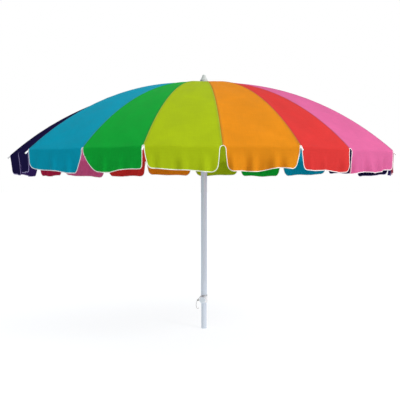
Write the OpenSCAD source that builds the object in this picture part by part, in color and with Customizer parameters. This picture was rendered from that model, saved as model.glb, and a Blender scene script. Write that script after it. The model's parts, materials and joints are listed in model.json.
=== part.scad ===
// Beach umbrella: twenty-panel domed canopy with a scalloped valance on ten folding ribs.
// Millimetres. +Z runs up the pole, z = 0 is the pole's foot, and rib 1 points along -Y.
// Ribs are numbered anticlockwise from above. Panel na lies clockwise of rib n, panel nb anticlockwise,
// and valance n is the two flaps beside rib n.

/* [Canopy] */
// Distance from the pole's axis to the cloth at each rib tip
canopy_r = 980; // [800:10:1100]
// Height of the canopy's top above its rim
canopy_rise = 367; // [300:1:400]
// Height of the rim above the pole's foot
rim_z = 895; // [800:1:920]
// Thickness of the cloth
cloth_t = 0.8; // [0.6:0.1:1.5]
// Depth of the hanging valance
valance_h = 100; // [80:1:140]
// Gap left between a valance flap and its seam at the rim
notch_top = 7; // [6:1:12]
// Further slant of a flap's side edge down to its lower corner
notch_slant = 17; // [10:1:40]
// Radius of a flap's lower corners
flap_corner_r = 32; // [20:1:50]

/* [Ribs] */
// Diameter of a rib's rod
rib_d = 5; // [4:0.5:6]
// Air between the cloth and a rib
rib_gap = 0.8; // [0.5:0.1:2]
// How far the rod stands out past the cloth
rib_over = 12; // [8:1:20]
// Diameter of a rib tip's cap
tip_d = 8; // [7:0.5:10]
// Distance from the pole's axis to a stretcher's pivot on its rib
bracket_r = 428; // [380:1:460]
// Distance between a stretcher's two pivots
stretcher_l = 470; // [460:1:500]
// Diameter of a stretcher's rod
stretcher_d = 5; // [4:0.5:6]

/* [Pole] */
// Outside diameter of the upper tube
upper_d = 32; // [30:0.5:33]
// Outside diameter of the lower tube
lower_d = 28; // [26:0.5:28]
// Wall thickness of both tubes
tube_wall = 1.4; // [1:0.1:2]
// Height of the upper tube's lower end above the foot
upper_z = 140; // [110:1:170]
// Length of the lower tube
lower_l = 1080; // [900:10:1100]
// Height of the finial above the cloth
finial_h = 48; // [44:1:56]

/* [Lock] */
// Diameter of the clamp knob
knob_d = 34; // [24:1:38]
// Length of the clamp knob
knob_l = 13; // [10:1:20]
// Diameter of the tie cord
cord_d = 2.4; // [2:0.1:3]

/* [Hidden] */
$fn = 48;

rib_count = 10;
pitch = 360 / rib_count;
half = pitch / 2;
top_z = rim_z + canopy_rise;

// The cloth is straight between neighbouring ribs, so each gore is part of a cylinder about a level line.
mid_r = canopy_r * cos(half);
mid_arc = (mid_r * mid_r + canopy_rise * canopy_rise) / (2 * canopy_rise);
seam_gap = 0.2;
flap_gap = 2;
cloth_hole_r = 12;

// A rib follows one circle in its own upright plane, just under the cloth.
rib_arc = (canopy_r * canopy_r + canopy_rise * canopy_rise) / (2 * canopy_rise);
rib_c = rib_arc - cloth_t - rib_gap - rib_d / 2;
tip_r = canopy_r + rib_over;

// Pivots, measured from the pole's axis and from the canopy's top
pivot_r = 24;
pin_r = 1.5;
eye_r = 4.5;
eye_t = 3;
eye_bore = pin_r + 0.05;
slot_w = 5.8;
crown_pivot_z = top_z - 9;
bracket_drop = 8;
bracket_z = top_z - rib_arc + sqrt(rib_c * rib_c - bracket_r * bracket_r) - bracket_drop;
runner_pivot_z = bracket_z - sqrt(pow(stretcher_l, 2) - pow(bracket_r - pivot_r, 2));
stretcher_slope = asin((bracket_z - runner_pivot_z) / stretcher_l);
ear_t = 1.6;
ear_gap = 0.35;
ear_r = 6;

// Crown and runner
hub_r = 30;
slot_floor_r = 18.8;
crown_top = top_z - 4.2;
crown_flange = 16;
crown_h = 34;
fit_gap = 0.1;
run_gap = 0.3;
runner_flange = 15;
runner_h = 62;
runner_r = 18.4;
button_d = 8;
button_out = 29;
button_z = runner_pivot_z - 36;

// Clamp
mark_z = 124;
collar_r = 18.1;
collar_h = 28;
collar_lip = 4;
lock_z = upper_z + 12;
boss_d = 15;
boss_out = 24.5;
screw_d = 5;
knob_in = boss_out + 0.5;

// Colours of the panels beside the first five ribs, then again beside the other five
CLOTH = [
  "green", "yellowgreen", "orange", "tomato", "hotpink",
  "crimson", "rebeccapurple", "midnightblue", "indigo", "darkturquoise"
];
METAL = "silver";
PLASTIC = "whitesmoke";

function tube_in(d) = d - 2 * tube_wall;
function rib_angle(n) = -90 + pitch * (n - 1);
function polar(a, r, z) = [r * cos(a), r * sin(a), z];

// The tie cord's route: once round the pole above the collar, back to the knot, then a hanging tail
CORD_PATH = [
  polar(-164, 30.5, 150), polar(-143, 24, 162.5), polar(-118, 19, 170), polar(-90, 17.9, 172),
  polar(-50, 17.7, 172.5), polar(-10, 17.7, 172), polar(30, 17.7, 171.5), polar(62, 18.3, 171),
  polar(86, 19.9, 167.5), polar(110, 20.3, 160), polar(134, 20.4, 150.5), polar(158, 21.3, 142),
  polar(176, 24.8, 140), polar(189, 29.5, 143.5), polar(197, 35, 142.5), polar(197, 39.3, 134),
  polar(197, 40.5, 120), polar(197, 39.1, 110.5), polar(197, 36.1, 104), polar(197, 30.7, 102.8),
  polar(197, 26.1, 106.4)
];
cord_steps = 4;
cord_sides = 8;

function unit(v) = v / norm(v);
function spline(a, b, c, d, t) =
  0.5 * (2 * b + (c - a) * t + (2 * a - 5 * b + 4 * c - d) * t * t + (3 * b - a - 3 * c + d) * t * t * t);
function smooth(p, n) = concat(
  [for (i = [0 : len(p) - 2], j = [0 : n - 1])
    spline(p[max(i - 1, 0)], p[i], p[i + 1], p[min(i + 2, len(p) - 1)], j / n)],
  [p[len(p) - 1]]
);
function heading(p, i) = unit(p[min(i + 1, len(p) - 1)] - p[max(i - 1, 0)]);
function across(u, t) = unit(u - t * (u * t));
function normals(p, i, u) =
  i == len(p) ? [] : let (v = across(u, heading(p, i))) concat([v], normals(p, i + 1, v));
function ring(p, i, u, r, n) =
  let (w = cross(heading(p, i), u))
    [for (k = [0 : n - 1]) p[i] + r * (u * cos(360 * k / n) + w * sin(360 * k / n))];

// A round cord along the points p
module cord(p, d, n) {
  u = normals(p, 0, [0, 0, 1]);
  m = len(p);
  points = [for (i = [0 : m - 1]) each ring(p, i, u[i], d / 2, n)];
  first = [for (k = [0 : n - 1]) n - 1 - k];
  last = [for (k = [0 : n - 1]) (m - 1) * n + k];
  sides = [
    for (i = [0 : m - 2], k = [0 : n - 1])
      [i * n + k, i * n + (k + 1) % n, (i + 1) * n + (k + 1) % n, (i + 1) * n + k]
  ];
  polyhedron(points, concat([first], sides, [last]));
}

// A rod lying across the rib's plane: its axis is level and square to the rib
module cross_rod(r, z, rad, len) {
  translate([r, 0, z]) rotate([90, 0, 0]) cylinder(r = rad, h = len, center = true);
}

// An open tube standing on z
module tube(z, d_out, d_in, len) {
  translate([0, 0, z]) difference() {
    cylinder(d = d_out, h = len);
    translate([0, 0, -1]) cylinder(d = d_in, h = len + 2);
  }
}

// The ring rolled into the tube marks how deep it stands in its base
module lower_tube() {
  color(METAL) difference() {
    tube(0, lower_d, tube_in(lower_d), lower_l);
    tube(mark_z, lower_d + 2, lower_d - 0.6, 1.2);
  }
}

module end_plug() {
  color(PLASTIC) translate([0, 0, 1]) cylinder(d = tube_in(lower_d) - 2 * fit_gap, h = 20);
}

module upper_tube() {
  top = crown_top - 6;
  color(METAL) difference() {
    tube(upper_z, upper_d, tube_in(upper_d), top - upper_z);
    translate([0, 0, lock_z]) rotate([90, 0, 0]) cylinder(d = screw_d + 0.6, h = upper_d);
  }
}

// Clamp collar closing the upper tube's lower end, with a boss for the screw
module collar() {
  color(PLASTIC) difference() {
    union() {
      translate([0, 0, upper_z - collar_lip]) cylinder(r = collar_r, h = collar_h + collar_lip);
      translate([0, 0, lock_z]) rotate([90, 0, 0]) cylinder(d = boss_d, h = boss_out);
    }
    translate([0, 0, upper_z - fit_gap]) cylinder(d = upper_d + 2 * fit_gap, h = collar_h + 1);
    translate([0, 0, upper_z - collar_lip - 1]) cylinder(d = lower_d + 2 * run_gap, h = collar_lip + 2);
    translate([0, 0, lock_z]) rotate([90, 0, 0]) cylinder(d = screw_d + 0.15, h = boss_out + 1);
  }
}

// Hand knob with six finger flutes, moulded on its screw
module knob() {
  inner = lower_d / 2 + run_gap;
  color(PLASTIC) translate([0, 0, lock_z]) rotate([90, 0, 0]) {
    translate([0, 0, knob_in]) difference() {
      union() {
        cylinder(d = knob_d, h = knob_l - 3);
        translate([0, 0, knob_l - 3]) cylinder(d1 = knob_d, d2 = knob_d - 6, h = 3);
      }
      for (k = [0 : 5])
        rotate(60 * k + 30) translate([knob_d / 2 + 3, 0, -1]) cylinder(r = 5, h = knob_l + 2);
    }
    translate([0, 0, inner]) cylinder(d = screw_d, h = knob_in + knob_l + 0.8 - inner);
  }
}

module tie_cord() {
  color("gainsboro") cord(smooth(CORD_PATH, cord_steps), cord_d, cord_sides);
}

// Slots for ten flat eyes, open outwards, upwards and downwards
module slots(z, h) {
  for (n = [1 : rib_count])
    rotate(rib_angle(n)) translate([slot_floor_r, -slot_w / 2, z - h / 2]) cube([hub_r, slot_w, h]);
}

// Hub fixed over the upper tube's top end, with a cross pin in each slot for a rib to hang on
module crown() {
  color(PLASTIC) for (n = [1 : rib_count]) rotate(rib_angle(n)) cross_rod(pivot_r, crown_pivot_z, pin_r, 12);
  color(PLASTIC) difference() {
    union() {
      translate([0, 0, crown_top - crown_flange]) cylinder(r = hub_r, h = crown_flange);
      translate([0, 0, crown_top - crown_h]) cylinder(r = slot_floor_r - 0.3, h = crown_h);
    }
    slots(crown_top, 4 * crown_flange);
    translate([0, 0, crown_top - crown_h - 1]) cylinder(d = upper_d + 2 * fit_gap, h = crown_h - 5 + fit_gap);
    translate([0, 0, crown_top - 8]) cylinder(r = 4 + fit_gap, h = 9);
  }
}

// Rounded finial on a broad flange that holds the cloth's top down, screwed into the crown
module finial() {
  foot = top_z + 0.3;
  base_z = foot + 3;
  base_r = 20;
  base_h = 16;
  cone_z = base_z + base_h;
  neck_z = cone_z + 7;
  neck_r = 15.5;
  dome_r = 9.5;
  dome_z = top_z + finial_h - dome_r;
  color(PLASTIC) {
    translate([0, 0, crown_top - 6]) cylinder(r = 4, h = foot - crown_top + 7);
    translate([0, 0, foot]) cylinder(r1 = 26, r2 = 22, h = 3);
    translate([0, 0, base_z]) cylinder(r = base_r, h = base_h);
    translate([0, 0, cone_z]) cylinder(r1 = base_r, r2 = neck_r, h = 7);
    translate([0, 0, neck_z]) cylinder(r1 = neck_r, r2 = dome_r, h = dome_z - neck_z);
    translate([0, 0, dome_z]) sphere(r = dome_r);
  }
}

// Sleeve that slides on the upper tube and pushes the stretchers
module runner() {
  color(PLASTIC) difference() {
    union() {
      translate([0, 0, runner_pivot_z - runner_flange / 2]) cylinder(r = hub_r, h = runner_flange);
      translate([0, 0, runner_pivot_z + 10 - runner_h]) cylinder(r = runner_r, h = runner_h);
      translate([-8, -27, button_z - 9]) cube([16, 20, 18]);
    }
    slots(runner_pivot_z, 2 * runner_flange);
    translate([0, 0, runner_pivot_z - runner_h]) cylinder(d = upper_d + 2 * run_gap, h = 2 * runner_h);
    translate([0, -15.5, button_z]) rotate([90, 0, 0]) cylinder(d = button_d + 2 * run_gap, h = 20);
  }
}

module runner_button() {
  color(METAL) translate([0, -19.5, button_z]) rotate([90, 0, 0]) cylinder(d = button_d, h = button_out - 18);
}

// Part of a rib's circle, between two distances from the pole's axis
module rib_rod(r_from, r_to, d) {
  low = acos(r_to / rib_c);
  high = acos(r_from / rib_c);
  translate([0, 0, top_z - rib_arc]) rotate([90, 0, 0]) rotate(low)
    rotate_extrude(angle = high - low) translate([rib_c, 0]) circle(d = d);
}

// Rib along +X: rod, root eye, and two riveted ears for its stretcher
module rib_along_x() {
  difference() {
    union() {
      rib_rod(pivot_r + 1, tip_r, rib_d);
      cross_rod(pivot_r, crown_pivot_z, eye_r, eye_t);
    }
    cross_rod(pivot_r, crown_pivot_z, eye_bore, slot_w);
  }
  for (side = [-1, 1]) {
    y = side * (eye_t / 2 + ear_gap + ear_t / 2);
    translate([bracket_r, y, bracket_z]) rotate([90, 0, 0]) cylinder(r = ear_r, h = ear_t, center = true);
    translate([bracket_r - ear_r, y - ear_t / 2, bracket_z]) cube([2 * ear_r, ear_t, bracket_drop]);
  }
  cross_rod(bracket_r, bracket_z, pin_r, eye_t + 2 * ear_gap + 2 * ear_t + 1.6);
}

// Plastic cap with a round nose, fitted over the rod's outer end
module tip_cap() {
  slope = asin(tip_r / rib_c);
  end_z = top_z - rib_arc + sqrt(rib_c * rib_c - tip_r * tip_r);
  nose = 1;
  translate([tip_r, 0, end_z]) rotate([0, 90 + slope, 0]) difference() {
    union() {
      translate([0, 0, -8]) cylinder(d = tip_d - 1, h = 8 + nose);
      translate([0, 0, nose]) sphere(d = tip_d);
    }
    translate([0, 0, -9]) cylinder(d = rib_d + 2 * fit_gap, h = 9.2);
  }
}

module rib(n) {
  color(METAL) rotate(rib_angle(n)) {
    rib_along_x();
    tip_cap();
  }
}

// Stretcher from its rib's ears down to the runner, with a flat eye at each end
module stretcher(n) {
  flat_l = 16;
  flat_w = 7;
  color(METAL) rotate(rib_angle(n)) translate([bracket_r, 0, bracket_z])
    rotate([0, 180 - stretcher_slope, 0]) difference() {
      union() {
        rotate([90, 0, 0]) cylinder(r = eye_r, h = eye_t, center = true);
        translate([0, -eye_t / 2, -flat_w / 2]) cube([flat_l, eye_t, flat_w]);
        translate([flat_l - 4, 0, 0]) rotate([0, 90, 0])
          cylinder(d = stretcher_d, h = stretcher_l - 2 * flat_l + 8);
        translate([stretcher_l - flat_l, -eye_t / 2, -flat_w / 2]) cube([flat_l, eye_t, flat_w]);
        translate([stretcher_l, 0, 0]) rotate([90, 0, 0]) cylinder(r = eye_r, h = eye_t, center = true);
      }
      rotate([90, 0, 0]) cylinder(r = eye_bore, h = 2 * eye_t, center = true);
    }
}

// The cloth's section along the middle of a gore
module gore_section() {
  intersection() {
    translate([0, top_z - mid_arc]) difference() {
      circle(r = mid_arc, $fn = 1440);
      circle(r = mid_arc - cloth_t, $fn = 1440);
    }
    translate([0, rim_z - 10]) square([mid_r, canopy_rise + 20]);
  }
}

// Outline of one valance flap, measured along the rim and down from it
module flap_outline(w) {
  drop = valance_h - flap_gap - flap_corner_r;
  corner = [for (a = [0 : 15 : 90]) [-flap_corner_r * cos(a), -drop - flap_corner_r * sin(a)]];
  shift = notch_top + notch_slant + flap_corner_r;
  left = [for (p = corner) [p[0] + shift, p[1]]];
  right = [for (i = [len(left) - 1 : -1 : 0]) [w - left[i][0], left[i][1]]];
  polygon(concat([[notch_top, 0]], left, right, [[w - notch_top, 0]]));
}

// Half a gore with the middle seam along +X and its rib half a pitch anticlockwise
module half_gore() {
  w = mid_r * tan(half);
  intersection() {
    rotate([90, 0, 0]) translate([0, 0, -w]) linear_extrude(w - seam_gap) gore_section();
    linear_extrude(top_z + 10) difference() {
      polygon([[0, 0], [mid_r + 1, 0], [mid_r + 1, (mid_r + 1) * tan(half) - seam_gap], [0, -seam_gap]]);
      circle(r = cloth_hole_r);
    }
  }
}

// The flap that hangs below a half gore's rim
module flap() {
  translate([mid_r - cloth_t, 0, rim_z - flap_gap]) rotate([90, 0, 90])
    linear_extrude(cloth_t) flap_outline(mid_r * tan(half));
}

// Panel a is the half gore that ends on rib n going anticlockwise, panel b the one that starts there
module panel(n, side) {
  color(CLOTH[(2 * (n - 1) + (side == "a" ? 0 : 1)) % 10])
    if (side == "a") rotate(rib_angle(n) - half) half_gore();
    else rotate(rib_angle(n) + half) mirror([0, 1, 0]) half_gore();
}

// The two flaps on either side of rib n
module valance(n) {
  color(CLOTH[(2 * n - 1) % 10]) {
    rotate(rib_angle(n) - half) flap();
    rotate(rib_angle(n) + half) mirror([0, 1, 0]) flap();
  }
}

lower_tube();
end_plug();
upper_tube();
collar();
crown();
finial();
knob();
tie_cord();
runner();
runner_button();
rib(1);  // rib_1
rib(2);  // rib_2
rib(3);  // rib_3
rib(4);  // rib_4
rib(5);  // rib_5
rib(6);  // rib_6
rib(7);  // rib_7
rib(8);  // rib_8
rib(9);  // rib_9
rib(10);  // rib_10
stretcher(1);  // stretcher_1
stretcher(2);  // stretcher_2
stretcher(3);  // stretcher_3
stretcher(4);  // stretcher_4
stretcher(5);  // stretcher_5
stretcher(6);  // stretcher_6
stretcher(7);  // stretcher_7
stretcher(8);  // stretcher_8
stretcher(9);  // stretcher_9
stretcher(10);  // stretcher_10
panel(1, "a");  // panel_1a
panel(1, "b");  // panel_1b
panel(2, "a");  // panel_2a
panel(2, "b");  // panel_2b
panel(3, "a");  // panel_3a
panel(3, "b");  // panel_3b
panel(4, "a");  // panel_4a
panel(4, "b");  // panel_4b
panel(5, "a");  // panel_5a
panel(5, "b");  // panel_5b
panel(6, "a");  // panel_6a
panel(6, "b");  // panel_6b
panel(7, "a");  // panel_7a
panel(7, "b");  // panel_7b
panel(8, "a");  // panel_8a
panel(8, "b");  // panel_8b
panel(9, "a");  // panel_9a
panel(9, "b");  // panel_9b
panel(10, "a");  // panel_10a
panel(10, "b");  // panel_10b
valance(1);  // valance_1
valance(2);  // valance_2
valance(3);  // valance_3
valance(4);  // valance_4
valance(5);  // valance_5
valance(6);  // valance_6
valance(7);  // valance_7
valance(8);  // valance_8
valance(9);  // valance_9
valance(10);  // valance_10
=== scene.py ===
"""The looks of the beach umbrella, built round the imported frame. Metres, +Z up, rib 1 along -Y."""

import json
import math

import bmesh
import bpy
import numpy as np
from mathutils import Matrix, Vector


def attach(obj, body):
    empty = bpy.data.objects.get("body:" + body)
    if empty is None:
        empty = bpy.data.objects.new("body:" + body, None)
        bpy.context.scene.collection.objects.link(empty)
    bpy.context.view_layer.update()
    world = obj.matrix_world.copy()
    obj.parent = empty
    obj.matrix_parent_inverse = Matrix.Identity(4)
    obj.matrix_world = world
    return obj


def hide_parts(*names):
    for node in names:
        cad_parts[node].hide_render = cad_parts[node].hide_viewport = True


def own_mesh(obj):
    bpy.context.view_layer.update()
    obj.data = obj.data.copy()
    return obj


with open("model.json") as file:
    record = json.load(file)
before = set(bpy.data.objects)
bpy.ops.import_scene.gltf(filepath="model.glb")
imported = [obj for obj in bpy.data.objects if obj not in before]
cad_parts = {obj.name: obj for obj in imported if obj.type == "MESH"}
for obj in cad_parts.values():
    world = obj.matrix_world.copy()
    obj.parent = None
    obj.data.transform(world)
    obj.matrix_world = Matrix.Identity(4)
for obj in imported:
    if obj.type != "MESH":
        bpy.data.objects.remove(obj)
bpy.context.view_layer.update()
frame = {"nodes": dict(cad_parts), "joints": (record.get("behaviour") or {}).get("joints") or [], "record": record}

# ---------------------------------------------------------------- the frame's own numbers
JOINTS = {j["name"]: j for j in frame["joints"]}
RIB_COUNT = 10
RIBS = range(1, RIB_COUNT + 1)
HALF = math.pi / RIB_COUNT
SIN_H, COS_H, TAN_H = math.sin(HALF), math.cos(HALF), math.tan(HALF)
FOLD = math.radians(JOINTS["rib_1_fold"]["range_deg"][1])
RIM = Vector(JOINTS["valance_1_hang"]["pos_m"])
PIVOT = Vector(JOINTS["rib_1_fold"]["pos_m"])
CANOPY_R, RIM_Z = math.hypot(RIM.x, RIM.y), RIM.z
PIVOT_R, PIVOT_Z = math.hypot(PIVOT.x, PIVOT.y), PIVOT.z
TOP_Z = PIVOT_Z + 0.009
RISE = TOP_Z - RIM_Z
CLOTH_T = 0.0008
HOLE_R = 0.012

# The mid seam lies halfway between two ribs: its reach and the radius of its arc, the radius of a rib's arc,
# the sine of the cloth's slope where the mid seam meets the rim, and a panel's width there
MID_R = CANOPY_R * COS_H
MID_ARC = (MID_R**2 + RISE**2) / (2 * RISE)
RIB_ARC = (CANOPY_R**2 + RISE**2) / (2 * RISE)
RIM_LEAN = MID_R / MID_ARC
RIM_WIDTH = MID_R * TAN_H

# Ten colours in order round half the canopy, then again round the other half
COLOUR_ORDER = ("green", "lime", "orange", "red", "pink", "crimson", "purple", "navy", "indigo", "teal")
CLOTHS = {f"{n}{side}": COLOUR_ORDER[(2 * n - 2 + k) % 10] for n in RIBS for k, side in enumerate("ab")}


def rib_azimuth(n):
    return -math.pi / 2 + 2 * HALF * (n - 1)


def radial(azimuth):
    return np.array([math.cos(azimuth), math.sin(azimuth), 0.0])


def tangent(azimuth):
    return np.array([-math.sin(azimuth), math.cos(azimuth), 0.0])


UP = np.array([0.0, 0.0, 1.0])


def gore_azimuth(n, side):
    """The azimuth of the mid seam beside panel n, side a or b."""
    return rib_azimuth(n) + (HALF if side == "b" else -HALF)


def rib_sign(side):
    """In a gore's own axes the rib lies anticlockwise of the mid seam for side a."""
    return 1 if side == "a" else -1


# ---------------------------------------------------------------- camera
SENSOR_MM = 36.0
PICTURE_PX = 400
CAMERA_DISTANCE = 3.6
CAMERA_AZIMUTH = math.radians(13.6)
CAMERA_HEIGHT = 0.745
CAMERA_FOCAL_PX = 697
CAMERA_TILT = -0.0224
CAMERA_PAN = -0.0057


def make_camera():
    data = bpy.data.cameras.new("camera")
    data.sensor_width = SENSOR_MM
    data.lens = CAMERA_FOCAL_PX * SENSOR_MM / PICTURE_PX
    data.clip_end = 200
    cam = bpy.data.objects.new("camera", data)
    bpy.context.scene.collection.objects.link(cam)
    cam.location = (
        CAMERA_DISTANCE * math.sin(CAMERA_AZIMUTH),
        -CAMERA_DISTANCE * math.cos(CAMERA_AZIMUTH),
        CAMERA_HEIGHT,
    )
    cam.rotation_euler = (math.pi / 2 + CAMERA_TILT, 0, CAMERA_AZIMUTH - CAMERA_PAN)
    bpy.context.scene.camera = cam


make_camera()


# ---------------------------------------------------------------- shader helpers
class Tree:
    """A material's nodes, added by short calls that return sockets."""

    def __init__(self, name):
        self.material = bpy.data.materials.new(name)
        self.material.use_nodes = True
        self.nodes = self.material.node_tree.nodes
        self.links = self.material.node_tree.links
        self.nodes.clear()
        self.end = self.nodes.new("ShaderNodeOutputMaterial")

    def add(self, kind, inputs=None, **settings):
        node = self.nodes.new("ShaderNode" + kind)
        for key, value in settings.items():
            setattr(node, key, value)
        for key, value in (inputs or {}).items():
            if isinstance(value, bpy.types.NodeSocket):
                self.links.new(value, node.inputs[key])
            else:
                node.inputs[key].default_value = value
        return node

    def math(self, operation, a, b=0.0, c=0.0):
        return self.add("Math", {0: a, 1: b, 2: c}, operation=operation).outputs[0]

    def uv(self, name):
        split = self.add("SeparateXYZ", {0: self.add("UVMap", uv_map=name).outputs[0]})
        return split.outputs[0], split.outputs[1]

    def point(self):
        return self.add("TexCoord").outputs["Object"]

    def vector(self, x, y, z=0.0):
        return self.add("CombineXYZ", {0: x, 1: y, 2: z}).outputs[0]

    def scaled(self, vector, by):
        return self.add("VectorMath", {0: vector, 1: by}, operation="MULTIPLY").outputs[0]

    def noise(self, vector, scale, detail=2.0, roughness=0.5):
        inputs = {"Vector": vector, "Scale": scale, "Detail": detail, "Roughness": roughness}
        return self.add("TexNoise", inputs).outputs["Fac"]

    def remap(self, value, low, high, to_low, to_high, smooth=False):
        inputs = {0: value, 1: low, 2: high, 3: to_low, 4: to_high}
        node = self.add("MapRange", inputs, clamp=True)
        if smooth:
            node.interpolation_type = "SMOOTHSTEP"
        return node.outputs[0]

    def near(self, value, centre, width):
        """1 where value is within width of centre, falling smoothly to 0."""
        away = self.math("ABSOLUTE", self.math("SUBTRACT", value, centre))
        return self.remap(away, width * 0.5, width, 1.0, 0.0, smooth=True)

    def mix(self, factor, a, b, blend="MIX"):
        node = self.add("Mix", data_type="RGBA", blend_type=blend)
        for socket, value in (("Factor", factor), ("A", a), ("B", b)):
            target = next(
                s for s in node.inputs
                if s.name == socket and s.type == ("VALUE" if socket == "Factor" else "RGBA")
            )
            if isinstance(value, bpy.types.NodeSocket):
                self.links.new(value, target)
            else:
                target.default_value = value if socket == "Factor" else (*value, 1.0)
        return next(s for s in node.outputs if s.type == "RGBA")

    def brightened(self, colour, value):
        """colour times value, where value is a socket."""
        grey = self.vector(value, value, value)
        return self.mix(1.0, colour, grey, "MULTIPLY")

    def bump(self, height, distance, strength=1.0, normal=None):
        inputs = {"Height": height, "Distance": distance, "Strength": strength}
        if normal is not None:
            inputs["Normal"] = normal
        return self.add("Bump", inputs).outputs[0]

    def principled(self, colour, roughness, normal=None, **own):
        inputs = {"Base Color": colour, "Roughness": roughness}
        if normal is not None:
            inputs["Normal"] = normal
        shader = self.add("BsdfPrincipled", inputs)
        for key, value in own.items():
            shader.inputs[key.replace("_", " ")].default_value = value
        return shader.outputs[0]

    def finish(self, shader):
        self.links.new(shader, self.end.inputs["Surface"])
        return self.material


def rgb(tree, colour):
    node = tree.add("RGB")
    node.outputs[0].default_value = (*colour, 1.0)
    return node.outputs[0]


# ---------------------------------------------------------------- materials
CLOTH_COLOURS = {
    "green": (0.006, 0.445, 0.047),
    "lime": (0.415, 0.530, 0.009),
    "orange": (0.755, 0.290, 0.012),
    "red": (0.655, 0.043, 0.040),
    "pink": (0.680, 0.146, 0.345),
    "crimson": (0.500, 0.020, 0.080),
    "purple": (0.055, 0.025, 0.170),
    "navy": (0.016, 0.012, 0.068),
    "indigo": (0.018, 0.013, 0.075),
    "teal": (0.002, 0.375, 0.530),
}
# At each seam's edge a painted shade line goes on one colour of each pair and a painted highlight line on the
# other, standing in for how light falls on the folded edge
SEAM_SHADE_COLOURS = ("green", "orange", "pink", "purple", "indigo")
THREAD_PITCH = 0.0011
STITCH_PITCH = 0.0034


def cloth_material(name, colour):
    """Woven polyester, thin enough to glow: warp and weft, slubs, soft mottling, and felled seams with two rows of
    stitches. Along each seam the folded strip and the groove are darkened as painted shade, and the seam's edge
    gets a painted shade line on one colour of each pair and a painted highlight line on the other."""
    t = Tree("cloth_" + name)
    u, v = t.uv("weave")
    seam, hem = t.uv("edges")
    place = t.vector(u, v)

    warp = t.math("SINE", t.math("MULTIPLY", u, math.tau / THREAD_PITCH))
    weft = t.math("SINE", t.math("MULTIPLY", v, math.tau / THREAD_PITCH))
    weave = t.math("MULTIPLY", warp, weft)
    slub_v = t.noise(t.scaled(place, (260.0, 14.0, 1.0)), 1.0, 3.0)
    slub_u = t.noise(t.scaled(place, (14.0, 260.0, 1.0)), 1.0, 3.0)
    slubs = t.math("ADD", slub_u, slub_v)
    mottle = t.noise(place, 9.0, 4.0, 0.6)
    crease = t.noise(t.scaled(place, (7.0, 3.0, 1.0)), 1.0, 2.0)

    rows = t.math("ADD", t.near(seam, 0.0022, 0.0009), t.near(seam, 0.0072, 0.0009))
    hem_row = t.near(hem, 0.0065, 0.0010)
    along = t.math("SINE", t.math("MULTIPLY", v, math.tau / STITCH_PITCH))
    across = t.math("SINE", t.math("MULTIPLY", u, math.tau / STITCH_PITCH))
    stitched = t.math("MULTIPLY", rows, t.remap(along, -0.5, 0.1, 0.0, 1.0))
    hemmed = t.math("MULTIPLY", hem_row, t.remap(across, -0.5, 0.1, 0.0, 1.0))
    stitches = t.math("MAXIMUM", stitched, hemmed)
    groove = t.remap(seam, 0.0, 0.0012, 1.0, 0.0)
    seam_shade_and_highlight = t.remap(seam, 0.0020, 0.0036, 1.0, 0.0)
    folded = t.remap(seam, 0.0080, 0.0095, 1.0, 0.0)

    value = t.remap(slubs, 0.6, 1.4, 0.955, 1.045)
    value = t.math("MULTIPLY", value, t.remap(mottle, 0.3, 0.7, 0.95, 1.05))
    value = t.math("MULTIPLY", value, t.remap(weave, -1.0, 1.0, 0.975, 1.02))
    # painted shade: a little darker across the seam's folded strip
    value = t.math("MULTIPLY", value, t.remap(folded, 0.0, 1.0, 1.0, 0.94))
    # painted shade: darker in the seam's groove
    value = t.math("MULTIPLY", value, t.remap(groove, 0.0, 1.0, 1.0, 0.8))
    # painted shade: a dark line at the seam's edge on these colours
    if name in SEAM_SHADE_COLOURS:
        value = t.math("MULTIPLY", value, t.remap(seam_shade_and_highlight, 0.0, 1.0, 1.0, 0.74))
    dyed = t.brightened(rgb(t, colour), value)
    # painted highlight: a pale line at the seam's edge on the other colours
    if name not in SEAM_SHADE_COLOURS:
        dyed = t.mix(t.math("MULTIPLY", seam_shade_and_highlight, 0.16), dyed, tuple(0.35 + 0.65 * c for c in colour))
    dark = max(colour) < 0.2
    thread = tuple(min(1.0, c * 0.85 + (0.004 if dark else 0.04)) for c in colour)
    dyed = t.mix(stitches, dyed, thread)

    normal = t.bump(weave, 0.00012, 0.6)
    normal = t.bump(slubs, 0.00035, 0.5, normal)
    normal = t.bump(crease, 0.004, 0.35, normal)
    height = t.math("SUBTRACT", stitches, groove)
    normal = t.bump(height, 0.0004, 0.8, normal)

    rough = t.remap(mottle, 0.3, 0.7, 0.70, 0.84)
    solid = t.principled(
        dyed, rough, normal,
        Specular_IOR_Level=0.0 if dark else 0.035, Sheen_Weight=0.0 if dark else 0.01, Sheen_Roughness=0.5,
    )
    glow = t.add("BsdfTranslucent", {"Color": dyed, "Normal": normal}).outputs[0]
    both = t.add("MixShader", {0: 0.33, 1: solid, 2: glow}).outputs[0]
    return t.finish(both)


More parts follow.
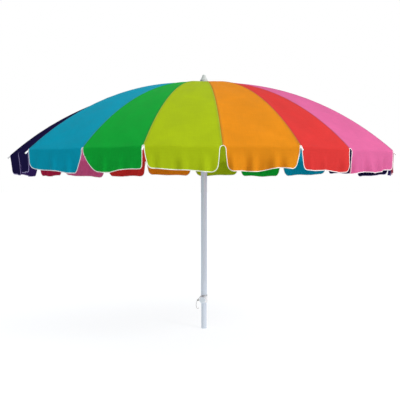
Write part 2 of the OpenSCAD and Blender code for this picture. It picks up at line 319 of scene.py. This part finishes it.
def tape_material(name, colour):
    """Pale twill tape folded over the flaps' edges, tinted towards its panel's colour, with one row of stitches;
    on the dark panels it is drawn dark lilac grey as painted shade.
    """
    t = Tree("binding_" + name)
    # painted shade: on the dark panels the white tape is drawn dark lilac grey, as if in shadow
    if max(colour) < 0.2:
        base = (0.24, 0.20, 0.42)
    else:
        panel_tint = 0.55 if name == "crimson" else 0.16
        base = tuple(w * (1 - panel_tint) + c * panel_tint for w, c in zip((0.88, 0.88, 0.87), colour))
    u, v = t.uv("weave")
    twill = t.math("SINE", t.math("MULTIPLY", t.math("ADD", u, v), math.tau / 0.0012))
    ribs = t.math("SINE", t.math("MULTIPLY", v, math.tau / 0.0008))
    slubs = t.noise(t.scaled(t.vector(u, v), (90.0, 300.0, 1.0)), 1.0, 3.0)
    soil = t.noise(t.vector(u, v), 14.0, 4.0, 0.65)
    stitch = t.math("SINE", t.math("MULTIPLY", v, math.tau / 0.003))
    row = t.math("MULTIPLY", t.near(u, 0.0018, 0.0007), t.remap(stitch, -0.4, 0.2, 0.0, 1.0))
    value = t.remap(slubs, 0.3, 0.7, 0.93, 1.04)
    value = t.math("MULTIPLY", value, t.remap(soil, 0.35, 0.75, 1.03, 0.90))
    colour = t.brightened(rgb(t, base), value)
    colour = t.mix(row, colour, tuple(b * 0.78 for b in base))
    normal = t.bump(twill, 0.00015, 0.6)
    normal = t.bump(ribs, 0.00008, 0.5, normal)
    normal = t.bump(row, 0.0003, 0.7, normal)
    rough = t.remap(slubs, 0.3, 0.7, 0.72, 0.88)
    solid = t.principled(colour, rough, normal, Specular_IOR_Level=0.3, Sheen_Weight=0.15)
    return t.finish(solid)


def paint_material(name, colour, metallic, rough_low, rough_high, scuffs):
    """Satin enamel over metal: fine orange peel, drawn streaks along the tube, and scuffs that show as duller
    paint."""
    t = Tree(name)
    p = t.point()
    peel = t.noise(p, 900.0, 2.0)
    streaks = t.noise(t.scaled(p, (420.0, 420.0, 5.0)), 1.0, 3.0, 0.6)
    patches = t.noise(p, 11.0, 4.0, 0.6)
    scratch = t.noise(t.scaled(p, (900.0, 900.0, 30.0)), 1.0, 4.0, 0.7)
    scratched = t.remap(scratch, 0.66, 0.72, 0.0, scuffs)
    value = t.remap(streaks, 0.3, 0.7, 0.965, 1.02)
    value = t.math("MULTIPLY", value, t.remap(patches, 0.3, 0.7, 0.97, 1.02))
    base = t.brightened(rgb(t, colour), value)
    base = t.mix(scratched, base, tuple(c * 0.62 for c in colour))
    rough = t.remap(patches, 0.3, 0.7, rough_low, rough_high)
    rough = t.math("ADD", rough, t.math("MULTIPLY", scratched, 0.2))
    normal = t.bump(peel, 0.00005, 0.35)
    normal = t.bump(streaks, 0.00004, 0.4, normal)
    solid = t.principled(
        base, rough, normal,
        Metallic=metallic, Specular_IOR_Level=0.5, Coat_Weight=0.12, Coat_Roughness=0.25,
    )
    return t.finish(solid)


def steel_material():
    """Bare drawn steel for pins and the button."""
    t = Tree("steel")
    p = t.point()
    lines = t.noise(t.scaled(p, (1500.0, 1500.0, 60.0)), 1.0, 3.0, 0.7)
    patches = t.noise(p, 60.0, 3.0)
    base = t.brightened(rgb(t, (0.60, 0.60, 0.61)), t.remap(lines, 0.3, 0.7, 0.88, 1.06))
    rough = t.remap(patches, 0.3, 0.7, 0.26, 0.42)
    return t.finish(t.principled(base, rough, t.bump(lines, 0.00003, 0.6), Metallic=0.95))


def plastic_material(name, colour, rough_low, rough_high, grain):
    """Moulded plastic: fine spark-eroded grain, faint flow marks, and faint patches of lighter and darker tone."""
    t = Tree(name)
    p = t.point()
    texture = t.noise(p, 1600.0, 2.0)
    flow = t.noise(t.scaled(p, (40.0, 40.0, 14.0)), 1.0, 4.0, 0.55)
    patches = t.noise(p, 70.0, 3.0)
    value = t.math("MULTIPLY", t.remap(flow, 0.3, 0.7, 0.965, 1.02), t.remap(patches, 0.3, 0.7, 0.975, 1.015))
    base = t.brightened(rgb(t, colour), value)
    rough = t.remap(flow, 0.3, 0.7, rough_low, rough_high)
    normal = t.bump(texture, 0.00004, grain)
    normal = t.bump(flow, 0.0004, 0.2, normal)
    return t.finish(t.principled(base, rough, normal, Specular_IOR_Level=0.5, Subsurface_Weight=0.0))


def cord_material():
    """Three-strand cord: the lay shows as slanting ridges, darkened between the strands as painted shade, with
    loose fibres between.
    """
    t = Tree("cord")
    u, v = t.uv("weave")
    lay = t.math("ADD", t.math("MULTIPLY", u, 3.0 * math.tau), t.math("MULTIPLY", v, math.tau / 0.0022))
    ridge = t.math("ABSOLUTE", t.math("SINE", t.math("MULTIPLY", lay, 0.5)))
    fibres = t.noise(t.scaled(t.vector(u, v), (30.0, 900.0, 1.0)), 1.0, 3.0, 0.7)
    # painted shade: darker in the grooves between the strands
    value = t.math("MULTIPLY", t.remap(ridge, 0.0, 0.7, 0.55, 1.0), t.remap(fibres, 0.3, 0.7, 0.88, 1.06))
    base = t.brightened(rgb(t, (0.62, 0.61, 0.58)), value)
    normal = t.bump(ridge, 0.0005, 0.9)
    normal = t.bump(fibres, 0.0002, 0.5, normal)
    return t.finish(t.principled(base, 0.85, normal, Specular_IOR_Level=0.2, Sheen_Weight=0.2))


CLOTH = {name: cloth_material(name, colour) for name, colour in CLOTH_COLOURS.items()}
TAPES = {name: tape_material(name, colour) for name, colour in CLOTH_COLOURS.items()}
CORD = cord_material()
NODE_MATERIALS = {
    "tube": paint_material("tube_paint", (0.63, 0.695, 0.78), 0.38, 0.30, 0.42, 0.5),
    "rib": paint_material("rib_paint", (0.80, 0.81, 0.82), 0.15, 0.32, 0.45, 0.6),
    "steel": steel_material(),
    "fittings": plastic_material("fittings_plastic", (0.80, 0.81, 0.82), 0.38, 0.52, 0.5),
    "finial": plastic_material("finial_plastic", (0.48, 0.52, 0.505), 0.25, 0.38, 0.3),
    "knob": plastic_material("knob_plastic", (0.70, 0.77, 0.84), 0.28, 0.40, 0.4),
}
NODE_SLOTS = {row["node"]: row["material_slot"] for row in frame["record"]["subparts"]}


def set_material(obj, material):
    obj.data.materials.clear()
    obj.data.materials.append(material)


for node_name, node in frame["nodes"].items():
    if NODE_SLOTS[node_name] in NODE_MATERIALS:
        set_material(node, NODE_MATERIALS[NODE_SLOTS[node_name]])


# ---------------------------------------------------------------- mesh helpers
def new_object(name, vertices, faces, material, uvs=None, sharp=()):
    """A mesh object. uvs maps a UV map's name to one (u, v) for each vertex; sharp lists vertex pairs."""
    mesh = bpy.data.meshes.new(name)
    mesh.from_pydata([tuple(map(float, v)) for v in vertices], [], [tuple(map(int, f)) for f in faces])
    mesh.polygons.foreach_set("use_smooth", [True] * len(mesh.polygons))
    loops = np.empty(len(mesh.loops), int)
    mesh.loops.foreach_get("vertex_index", loops)
    for uv_name, uv in (uvs or {}).items():
        layer = mesh.uv_layers.new(name=uv_name)
        layer.data.foreach_set("uv", np.asarray(uv, np.float32)[loops].ravel())
    if sharp:
        wanted = {tuple(sorted(map(int, pair))) for pair in sharp}
        for edge in mesh.edges:
            if tuple(sorted(edge.vertices)) in wanted:
                edge.use_edge_sharp = True
    mesh.materials.append(material)
    mesh.validate()
    mesh.update()
    obj = bpy.data.objects.new(name, mesh)
    bpy.context.scene.collection.objects.link(obj)
    return obj


def grid_normals(grid, outwards):
    """Unit normals of a grid of points, on the side that outwards points to."""
    down = np.gradient(grid, axis=0)
    along = np.gradient(grid, axis=1)
    normal = np.cross(down, along)
    normal /= np.maximum(np.linalg.norm(normal, axis=2, keepdims=True), 1e-12)
    facing = (normal * outwards).sum(axis=2, keepdims=True)
    return np.where(facing < 0, -normal, normal)


def closed_sheet(name, outer, normals, thickness, uvs, material):
    """A thin closed solid between a grid of points and the same grid moved back along its normals."""
    rows, cols = outer.shape[:2]
    count = rows * cols
    inner = outer - normals * thickness
    index = np.arange(count).reshape(rows, cols)
    quads = np.stack([index[:-1, :-1], index[1:, :-1], index[1:, 1:], index[:-1, 1:]], axis=-1).reshape(-1, 4)
    a, b, c = (outer.reshape(-1, 3)[quads[:, k]] for k in (0, 1, 2))
    face_normals = np.cross(b - a, c - a)
    if (face_normals * normals.reshape(-1, 3)[quads[:, 0]]).sum() < 0:
        quads = quads[:, ::-1]
    faces = [*quads, *(quads[:, ::-1] + count)]
    border = [*index[0, :], *index[1:, -1], *index[-1, -2::-1], *index[-2:0:-1, 0]]
    flip = (quads[0] == np.array([index[0, 0], index[1, 0], index[1, 1], index[0, 1]])).all()
    sharp = []
    for i, p in enumerate(border):
        q = border[(i + 1) % len(border)]
        faces.append((p, q, q + count, p + count) if flip else (q, p, p + count, q + count))
        sharp += [(p, q), (p + count, q + count)]
    for corner in (index[0, 0], index[0, -1], index[-1, -1], index[-1, 0]):
        sharp.append((corner, corner + count))
    points = np.vstack([outer.reshape(-1, 3), inner.reshape(-1, 3)])
    both = {k: np.vstack([v.reshape(-1, 2), v.reshape(-1, 2)]) for k, v in uvs.items()}
    return new_object(name, points, faces, material, both, sharp)


def swept(name, path, side, normal, half_width, half_thick, material, sides=10):
    """A closed band with an oval section along a path. side and normal are its section's axes."""
    path, side, normal = (np.asarray(x, float) for x in (path, side, normal))
    steps = np.linalg.norm(np.diff(path, axis=0), axis=1)
    length = np.concatenate([[0.0], np.cumsum(steps)])
    angles = np.linspace(0, math.tau, sides, endpoint=False)
    rings = [
        path + half_width * math.cos(a) * side + half_thick * math.sin(a) * normal for a in angles
    ]
    points = np.stack(rings, axis=1).reshape(-1, 3)
    faces = []
    for i in range(len(path) - 1):
        for k in range(sides):
            m = (k + 1) % sides
            faces.append((i * sides + k, i * sides + m, (i + 1) * sides + m, (i + 1) * sides + k))
    last = (len(path) - 1) * sides
    faces.append(tuple(range(sides - 1, -1, -1)))
    faces.append(tuple(last + k for k in range(sides)))
    around = np.array([half_width * math.cos(a) for a in angles])
    uv = np.stack([np.tile(around, len(path)), np.repeat(length, sides)], axis=1)
    sharp = [(k, (k + 1) % sides) for k in range(sides)]
    sharp += [(last + k, last + (k + 1) % sides) for k in range(sides)]
    obj = new_object(name, points, faces, material, {"weave": uv}, sharp)
    recalculate(obj)
    return obj


def recalculate(obj):
    """Turns a closed mesh's faces outwards."""
    bm = bmesh.new()
    bm.from_mesh(obj.data)
    bmesh.ops.recalc_face_normals(bm, faces=bm.faces)
    bm.to_mesh(obj.data)
    bm.free()


# ---------------------------------------------------------------- the tie cord
CORD_D = 0.0024
# Azimuth in degrees, distance from the axis and height in millimetres: once round the pole above the collar,
# back to the knot, then a hanging tail
CORD_PATH = [
    (-164, 30.5, 150), (-143, 24, 162.5), (-118, 19, 170), (-90, 17.9, 172),
    (-50, 17.7, 172.5), (-10, 17.7, 172), (30, 17.7, 171.5), (62, 18.3, 171),
    (86, 19.9, 167.5), (110, 20.3, 160), (134, 20.4, 150.5), (158, 21.3, 142),
    (176, 24.8, 140), (189, 29.5, 143.5), (197, 35, 142.5), (197, 39.3, 134),
    (197, 40.5, 120), (197, 39.1, 110.5), (197, 36.1, 104), (197, 30.7, 102.8),
    (197, 26.1, 106.4),
]


def polar(azimuth_deg, radius_mm, height_mm):
    azimuth = math.radians(azimuth_deg)
    return np.array([radius_mm * math.cos(azimuth), radius_mm * math.sin(azimuth), height_mm]) / 1000


def smooth_path(points, steps):
    """Catmull-Rom through the points, as part.scad draws the cord."""
    points = np.asarray(points, float)
    out = []
    last = len(points) - 1
    for i in range(last):
        a, b, c, d = (points[min(max(j, 0), last)] for j in (i - 1, i, i + 1, i + 2))
        for t in np.arange(steps) / steps:
            out.append(0.5 * (2 * b + (c - a) * t + (2 * a - 5 * b + 4 * c - d) * t**2
                              + (3 * b - a - 3 * c + d) * t**3))
    return np.array([*out, points[last]])


def path_frames(path):
    """Two unit axes square to the path at each point, carried along without twist."""
    heading = np.gradient(path, axis=0)
    heading /= np.linalg.norm(heading, axis=1, keepdims=True)
    side = UP
    sides = []
    for h in heading:
        side = side - h * (side @ h)
        side = side / np.linalg.norm(side)
        sides.append(side)
    sides = np.array(sides)
    return sides, np.cross(heading, sides)


KNOT_PLACE = (195, 32, 146.5)


def make_knot():
    """An overhand knot: a round heart with turns of the same cord drawn tight round it."""
    turns = np.linspace(0, math.tau, 90)
    centre = polar(*KNOT_PLACE)
    wave = 0.0009 * np.cos(3 * turns)
    points = np.stack([
        (0.0034 + wave) * np.cos(2 * turns),
        (0.0034 + wave) * np.sin(2 * turns),
        0.0028 * np.sin(3 * turns),
    ], axis=1)
    side, normal = path_frames(centre + points)
    return swept("tie_knot", centre + points, side, normal, CORD_D / 2, CORD_D / 2, CORD, sides=12)


def make_tie_cord():
    path = smooth_path([polar(*p) for p in CORD_PATH], 8)
    side, normal = path_frames(path)
    cord = swept("tie_cord_rope", path, side, normal, CORD_D / 2, CORD_D / 2, CORD, sides=12)
    knot = make_knot()
    for piece in (cord, knot):
        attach(piece, "upper_pole")
        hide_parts("tie_cord")


make_tie_cord()


# ---------------------------------------------------------------- the canopy's shape
SAG = 0.0030  # the cloth's slack halfway between two ribs
RIM_SAG = 0.0020
RIDGE = 0.0006  # the felled seam's extra thickness
ROW_STEP = 0.011
INNER_COLUMNS = 15
SEAM_OFFSETS = (0.0, 0.0012, 0.0045, 0.0078, 0.0095)
BAND_EDGES = (HOLE_R, 0.11, 0.3, 0.5, 0.66, 0.8, MID_R)


def smoothstep(x, low, high):
    t = np.clip((x - low) / (high - low), 0, 1)
    return t * t * (3 - 2 * t)


def gore_z(x):
    return TOP_Z - MID_ARC + np.sqrt(MID_ARC**2 - x**2)


def panel_phase(n, side):
    """A different phase for each panel's creases, the same at every run."""
    return 2.399963 * (2 * n + (side == "b"))


def canopy_push(x, y, phase, ridged):
    """How far the cloth stands out from the plain gore, along its normal, at y from the mid seam.

    In order: slack, long creases, creases that fan in from the rib's tip, puckers along the stitching,
    gathers at the crown, and the felled seam's ridge.
    """
    width = x * TAN_H
    t = np.clip(y / width, 0, 1)
    from_rib = width - y
    from_seam = np.minimum(y, from_rib)
    inside = np.clip(4 * t * (1 - t), 0, 1)
    slack = smoothstep(x, 0.03, 0.45) * (SAG + (RIM_SAG - SAG) * smoothstep(x, 0.55, MID_R))
    push = -slack * (1 - t**2)
    arc = MID_ARC * np.arcsin(x / MID_ARC)
    fade = smoothstep(x, 0.08, 0.4)
    push += inside * fade * (
        0.0016 * np.sin(9.0 * arc + 5.0 * t + phase)
        + 0.0011 * np.sin(17.0 * arc - 8.0 * t + 2.1 * phase)
    )
    reach = np.hypot(MID_R - x, from_rib)
    bearing = np.arctan2(from_rib, MID_R - x + 1e-9)
    fan = np.exp(-reach / 0.11) * smoothstep(reach, 0.0, 0.05)
    push += 0.0034 * inside * fan * np.sin(9.0 * bearing + phase)
    pucker = np.exp(-from_seam / 0.022) * smoothstep(from_seam, 0.0, 0.012)
    push += 0.0007 * fade * pucker * np.sin(math.tau * arc / 0.066 + phase)
    gathers = np.exp(-x / 0.05) * smoothstep(x, 0.026, 0.05)
    push += 0.0016 * gathers * np.sin(math.tau * 2.5 * t + phase) * inside
    fold = smoothstep(y, 0.0, 0.0012) * (1 - smoothstep(y, 0.0078, 0.0095))
    return push + (RIDGE * fold * smoothstep(x, 0.03, 0.06) if ridged else 0.0)


def gore_points(x, y, push, azimuth, sign):
    """Points in the row frame from a gore's own numbers."""
    nx = x / MID_ARC
    nz = np.sqrt(1 - nx**2)
    out = x + push * nx
    z = gore_z(x) + push * nz
    return (out[..., None] * radial(azimuth) + (sign * y)[..., None] * tangent(azimuth)
            + z[..., None] * UP)


def panel_columns(width):
    """Distances from the mid seam of a row's points, close together at both seams."""
    tight = min(1.0, width / 0.06)
    left = np.array(SEAM_OFFSETS) * tight
    right = width - left[::-1]
    middle = np.linspace(left[-1], right[0], INNER_COLUMNS + 2)[1:-1]
    return np.concatenate([left, middle, right])


def canopy_grid(x_rows, n, side):
    x, y = [], []
    for row in x_rows:
        columns = panel_columns(row * TAN_H)
        x.append(np.full(len(columns), row))
        y.append(columns)
    x, y = np.array(x), np.array(y)
    push = canopy_push(x, y, panel_phase(n, side), side == "a")
    return x, y, gore_points(x, y, push, gore_azimuth(n, side), rib_sign(side))


def folded(radius, height):
    """Where a point of a rib's plane goes when the rib is folded: (radius, height)."""
    r, z = radius - PIVOT_R, height - PIVOT_Z
    c, s = math.cos(FOLD), math.sin(FOLD)
    return PIVOT_R + r * c + z * s, PIVOT_Z - r * s + z * c


# ---------------------------------------------------------------- canopy panels
# The "edges" map holds the distances from the nearest seam and from the hem; this one is out of reach of both
NOT_NEAR = 1.0


def make_panel(n, side, pocket):
    azimuth = gore_azimuth(n, side)
    name = f"{n}{side}"
    for band, (start, stop) in enumerate(zip(BAND_EDGES, BAND_EDGES[1:]), 1):
        rows = max(3, round((stop - start) / ROW_STEP) + 1)
        x, y, grid = canopy_grid(np.linspace(start, stop, rows), n, side)
        normals = grid_normals(grid, radial(azimuth) * 0.3 + UP)
        arc = MID_ARC * np.arcsin(x / MID_ARC)
        width = x * TAN_H
        uvs = {
            "weave": np.stack([y, arc], axis=-1),
            "edges": np.stack([np.minimum(y, width - y), np.full_like(y, NOT_NEAR)], axis=-1),
        }
        piece = closed_sheet(f"panel_{name}_band_{band}", grid, normals, CLOTH_T, uvs, CLOTH[CLOTHS[name]])
        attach(piece, f"rib_{n}")
        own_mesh(piece)
        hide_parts(f"panel_{name}")


ROD_DEPTH = 0.0033
POCKET_FROM = 0.062
POCKET_TO = 0.006
POCKET_HALF_W = 0.0095
POCKET_HALF_T = 0.0032


def make_pocket(n):
    """The sleeve sewn under the rim that holds the end of rib n."""
    rod_r = RIB_ARC - CLOTH_T - ROD_DEPTH
    radius = np.linspace(CANOPY_R - POCKET_FROM, CANOPY_R - POCKET_TO, 14)
    height = TOP_Z - RIB_ARC + np.sqrt(rod_r**2 - radius**2)
    out, along = radial(rib_azimuth(n)), tangent(rib_azimuth(n))
    path = radius[:, None] * out + height[:, None] * UP
    normal = (radius[:, None] * out + (height - TOP_Z + RIB_ARC)[:, None] * UP) / rod_r
    side = np.tile(along, (len(radius), 1))
    colour = CLOTHS[f"{n}b"]
    piece = swept(
        f"rib_pocket_{n}", path, side, normal, POCKET_HALF_W, POCKET_HALF_T, CLOTH[colour], sides=16,
    )
    edges = piece.data.uv_layers.new(name="edges")
    edges.data.foreach_set("uv", np.full(2 * len(piece.data.loops), 0.02, np.float32))
    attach(piece, f"rib_{n}")
    return piece


for n in RIBS:
    make_panel(n, "a", [])
    make_panel(n, "b", [make_pocket(n)])


# ---------------------------------------------------------------- valance flaps
FLAP_COLUMNS = 48
FLAP_ROWS = 24
BEND = 0.014  # the depth in which the cloth turns from the canopy's slope to hanging
ARCH_H = 0.020  # the height of a notch's rounded top
TAPE_HALF_W = 0.0017
TAPE_HALF_T = 0.0010
TAPE_INSET = 0.0014
TAPE_STEP = 0.0022


def flap_cut(top=(7, 5), slant=(20, 16), corner=(26, 24), depth=(106, 99), swing=-3.0, waves=1.0):
    """How a flap was cut and how it hangs: millimetres, each pair beside the mid seam and beside the rib.

    top is the notch's half-width at its top, slant the side edge's further slant, and corner its radius.
    swing is in degrees, outwards from the vertical, and waves scales the ripples.
    """
    return {"top": top, "slant": slant, "corner": corner, "depth": depth, "swing": swing, "waves": waves}


FLAPS = {
    "10a": flap_cut((7, 4), (14, 90), (22, 16), (99, 96), swing=-9.0, waves=0.6),
    "10b": flap_cut((4, 4), (36, 6), (13, 28), (103, 88)),
    "1a": flap_cut((3, 3), (58, 5), (20, 14), (103, 91)),
    "1b": flap_cut((11, 3), (8, 17), (26, 16), (101, 93), swing=-1.0, waves=0.9),
    "2a": flap_cut((12, 3), (10, 16), (28, 18), (104, 89), swing=-2.0, waves=2.0),
    "2b": flap_cut((6, 3), (-4, 22), (30, 20), (100, 95), swing=-2.0, waves=1.1),
    "3a": flap_cut((10, 4), (-8, 10), (34, 13), (106, 93), swing=-2.0, waves=2.0),
    "3b": flap_cut(slant=(20, 30), waves=0.3),
    "5a": flap_cut(depth=(87, 84)),
    "5b": flap_cut(depth=(95, 91)),
    "6a": flap_cut(depth=(101, 96)),
    "6b": flap_cut(depth=(94, 91)),
    "7a": flap_cut(depth=(93, 90)),
    "7b": flap_cut(depth=(102, 97)),
    "9b": flap_cut(swing=-9.0),
}


def edge_line(depth, top, slant, drop):
    """How far a flap's side edge stands from its seam at a depth below the rim: an arch, then a slant."""
    arch = np.sqrt(np.clip(1 - (1 - np.clip(depth / ARCH_H, 0, 1)) ** 2, 0, 1))
    below = np.clip((depth - ARCH_H) / (drop - ARCH_H), 0, 1)
    return top * arch + slant * below**1.35


def corner_lift(distance, radius):
    """How much higher than its lowest line the hem runs near a rounded corner."""
    s = np.clip(1 - distance / radius, 0, 1)
    return radius * (1 - np.sqrt(np.clip(1 - s**2, 0, 1)))


def flap_grid(n, side):
    """Grid of points (rows down, columns from the mid seam to the rib), with its distances along and down."""
    cut = FLAPS.get(f"{n}{side}", flap_cut())
    in_m = {k: tuple(v / 1000 for v in cut[k]) for k in ("top", "slant", "corner", "depth")}
    phase = panel_phase(n, side)
    width = RIM_WIDTH
    u = (1 - np.cos(np.linspace(0, math.pi, FLAP_COLUMNS))) / 2
    v = np.concatenate([np.linspace(0, 0.22, 9)[:-1], np.linspace(0.22, 1, FLAP_ROWS - 8)])
    u, v = np.meshgrid(u, v)
    low = in_m["depth"][0] + (in_m["depth"][1] - in_m["depth"][0]) * smoothstep(u, 0.05, 0.95)
    low = low + 0.0022 * cut["waves"] * np.sin(math.tau * 1.6 * u + phase)
    from_mid, from_rib = u * width, (1 - u) * width
    hem = low - corner_lift(from_mid, in_m["corner"][0]) - corner_lift(from_rib, in_m["corner"][1])
    depth = v * hem
    left = edge_line(depth, in_m["top"][0], in_m["slant"][0], in_m["depth"][0])
    right = edge_line(depth, in_m["top"][1], in_m["slant"][1], in_m["depth"][1])
    y = left + u * (width - left - right)

    rim_push = canopy_push(np.full_like(y, MID_R), np.clip(y, 0, width), phase, side == "a")
    slope = math.asin(RIM_LEAN)
    share = smoothstep(depth, 0.0, BEND)
    hang = math.pi / 2 - math.radians(cut["swing"])
    angle = slope + (hang - slope) * share
    step = np.diff(depth, axis=0, prepend=0.0)
    out = np.cumsum(np.cos(angle) * step, axis=0)
    down = np.cumsum(np.sin(angle) * step, axis=0)
    grow = smoothstep(depth, 0.012, 0.105)
    inner = smoothstep(from_mid, 0.0, 0.03) * smoothstep(from_rib, 0.0, 0.03)
    waves = cut["waves"] * grow * (
        0.0045 * np.sin(math.tau * y / 0.074 + phase + 6 * depth)
        + 0.0026 * np.sin(math.tau * y / 0.043 + 2.3 * phase)
        + 0.0050 * np.sin(math.tau * y / 0.21 + 0.7 * phase)
    ) * (0.35 + 0.65 * inner)
    curl = 0.004 * smoothstep(depth, 0.06, 0.12) * np.sin(3.1 * phase)
    x = MID_R + rim_push * RIM_LEAN + out + waves + curl
    z = gore_z(np.full_like(y, MID_R)) + rim_push * math.cos(slope) - down
    azimuth = gore_azimuth(n, side)
    grid = (x[..., None] * radial(azimuth) + (rib_sign(side) * y)[..., None] * tangent(azimuth)
            + z[..., None] * UP)
    return grid, y, depth, hem


def spaced(points, step):
    """The indices of points along a path that stand more than step from the one kept before."""
    kept = [0]
    for i in range(1, len(points)):
        if np.linalg.norm(points[i] - points[kept[-1]]) > step:
            kept.append(i)
    return kept


def make_flap(n, side):
    name = f"{n}{side}"
    azimuth = gore_azimuth(n, side)
    grid, y, depth, hem = flap_grid(n, side)
    normals = grid_normals(grid, radial(azimuth))
    uvs = {
        "weave": np.stack([y, MID_ARC * math.asin(RIM_LEAN) + depth], axis=-1),
        "edges": np.full((*y.shape, 2), NOT_NEAR),
    }
    flap = closed_sheet(f"flap_{name}", grid, normals, CLOTH_T, uvs, CLOTH[CLOTHS[name]])

    edge = np.concatenate([grid[:, 0], grid[-1, 1:], grid[-2::-1, -1]])
    edge_normal = np.concatenate([normals[:, 0], normals[-1, 1:], normals[-2::-1, -1]])
    heading = np.gradient(edge, axis=0)
    heading /= np.maximum(np.linalg.norm(heading, axis=1, keepdims=True), 1e-9)
    side_axis = np.cross(edge_normal, heading)
    side_axis /= np.linalg.norm(side_axis, axis=1, keepdims=True)
    middle = grid[FLAP_ROWS // 2, FLAP_COLUMNS // 2]
    if ((middle - edge) * side_axis).sum() < 0:
        side_axis = -side_axis
    centre = edge + side_axis * TAPE_INSET - edge_normal * CLOTH_T / 2
    kept = spaced(centre, TAPE_STEP)
    tape = swept(
        f"binding_{name}", centre[kept], side_axis[kept], edge_normal[kept],
        TAPE_HALF_W, TAPE_HALF_T, TAPES[CLOTHS[name]], sides=10,
    )
    body, joint = f"valance_{n}", f"valance_{n}_hang"
    for piece in (flap, tape):
        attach(piece, body)
        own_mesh(piece)
    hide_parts(f"valance_{n}")


for n in RIBS:
    for side in "ab":
        make_flap(n, side)


# ---------------------------------------------------------------- stage
def make_floor():
    bpy.ops.mesh.primitive_circle_add(vertices=96, radius=60, fill_type="NGON", location=(0, 0, 0))
    floor = bpy.context.object
    floor.name = "floor"
    t = Tree("floor")
    grain = t.noise(t.point(), 3.0, 3.0)
    colour = t.brightened(rgb(t, (0.20, 0.20, 0.20)), t.remap(grain, 0.3, 0.7, 0.99, 1.01))
    shader = t.principled(colour, 0.9, Specular_IOR_Level=0.1)
    glow = t.add("Emission", {"Color": (0.96, 0.98, 1, 1), "Strength": 0.86}).outputs[0]
    set_material(floor, t.finish(t.add("AddShader", {0: shader, 1: glow}).outputs[0]))


def make_light(name, location, target, size, watts, colour=(1, 1, 1)):
    data = bpy.data.lights.new(name, "AREA")
    data.shape = "DISK"
    data.size = size
    data.energy = watts
    data.color = colour
    light = bpy.data.objects.new(name, data)
    bpy.context.scene.collection.objects.link(light)
    light.location = location
    light.rotation_euler = (Vector(target) - Vector(location)).to_track_quat("-Z", "Y").to_euler()


def make_world():
    """A white studio, brighter overhead, whose light is weaker from the left and from the front."""
    world = bpy.data.worlds.new("studio")
    bpy.context.scene.world = world
    world.use_nodes = True
    nodes, links = world.node_tree.nodes, world.node_tree.links
    nodes.clear()

    def ramp(direction, low, high, at_low, at_high):
        dot = nodes.new("ShaderNodeVectorMath")
        dot.operation = "DOT_PRODUCT"
        dot.inputs[1].default_value = direction
        links.new(coords.outputs["Generated"], dot.inputs[0])
        node = nodes.new("ShaderNodeMapRange")
        node.interpolation_type = "SMOOTHSTEP"
        for i, value in enumerate((low, high, at_low, at_high), 1):
            node.inputs[i].default_value = value
        links.new(dot.outputs["Value"], node.inputs[0])
        return node.outputs[0]

    coords = nodes.new("ShaderNodeTexCoord")
    leftwards = (-math.cos(CAMERA_AZIMUTH), -math.sin(CAMERA_AZIMUTH), 0.0)
    wall = ramp(leftwards, 0.35, 1.0, 1.0, 0.30)
    overhead = ramp((0.0, 0.0, 1.0), 0.25, 1.0, 1.0, 1.25)
    towards = (math.sin(CAMERA_AZIMUTH), -math.cos(CAMERA_AZIMUTH), 0.0)
    front = ramp(towards, 0.0, 0.9, 1.0, 0.52)
    strength = wall
    for factor in (overhead, front):
        product = nodes.new("ShaderNodeMath")
        product.operation = "MULTIPLY"
        links.new(strength, product.inputs[0])
        links.new(factor, product.inputs[1])
        strength = product.outputs[0]
    seen = nodes.new("ShaderNodeLightPath")
    plain = nodes.new("ShaderNodeMapRange")
    links.new(seen.outputs["Is Camera Ray"], plain.inputs["Value"])
    links.new(strength, plain.inputs["To Min"])
    back = nodes.new("ShaderNodeBackground")
    back.inputs["Color"].default_value = (1, 1, 1, 1)
    links.new(plain.outputs[0], back.inputs["Strength"])
    end = nodes.new("ShaderNodeOutputWorld")
    links.new(back.outputs[0], end.inputs["Surface"])


make_floor()
make_world()
make_light("key", (4.2, -2.6, 3.6), (0, 0, 0.9), 1.4, 190)
bpy.context.scene.view_settings.view_transform = "Standard"
bpy.context.scene.view_settings.look = "None"
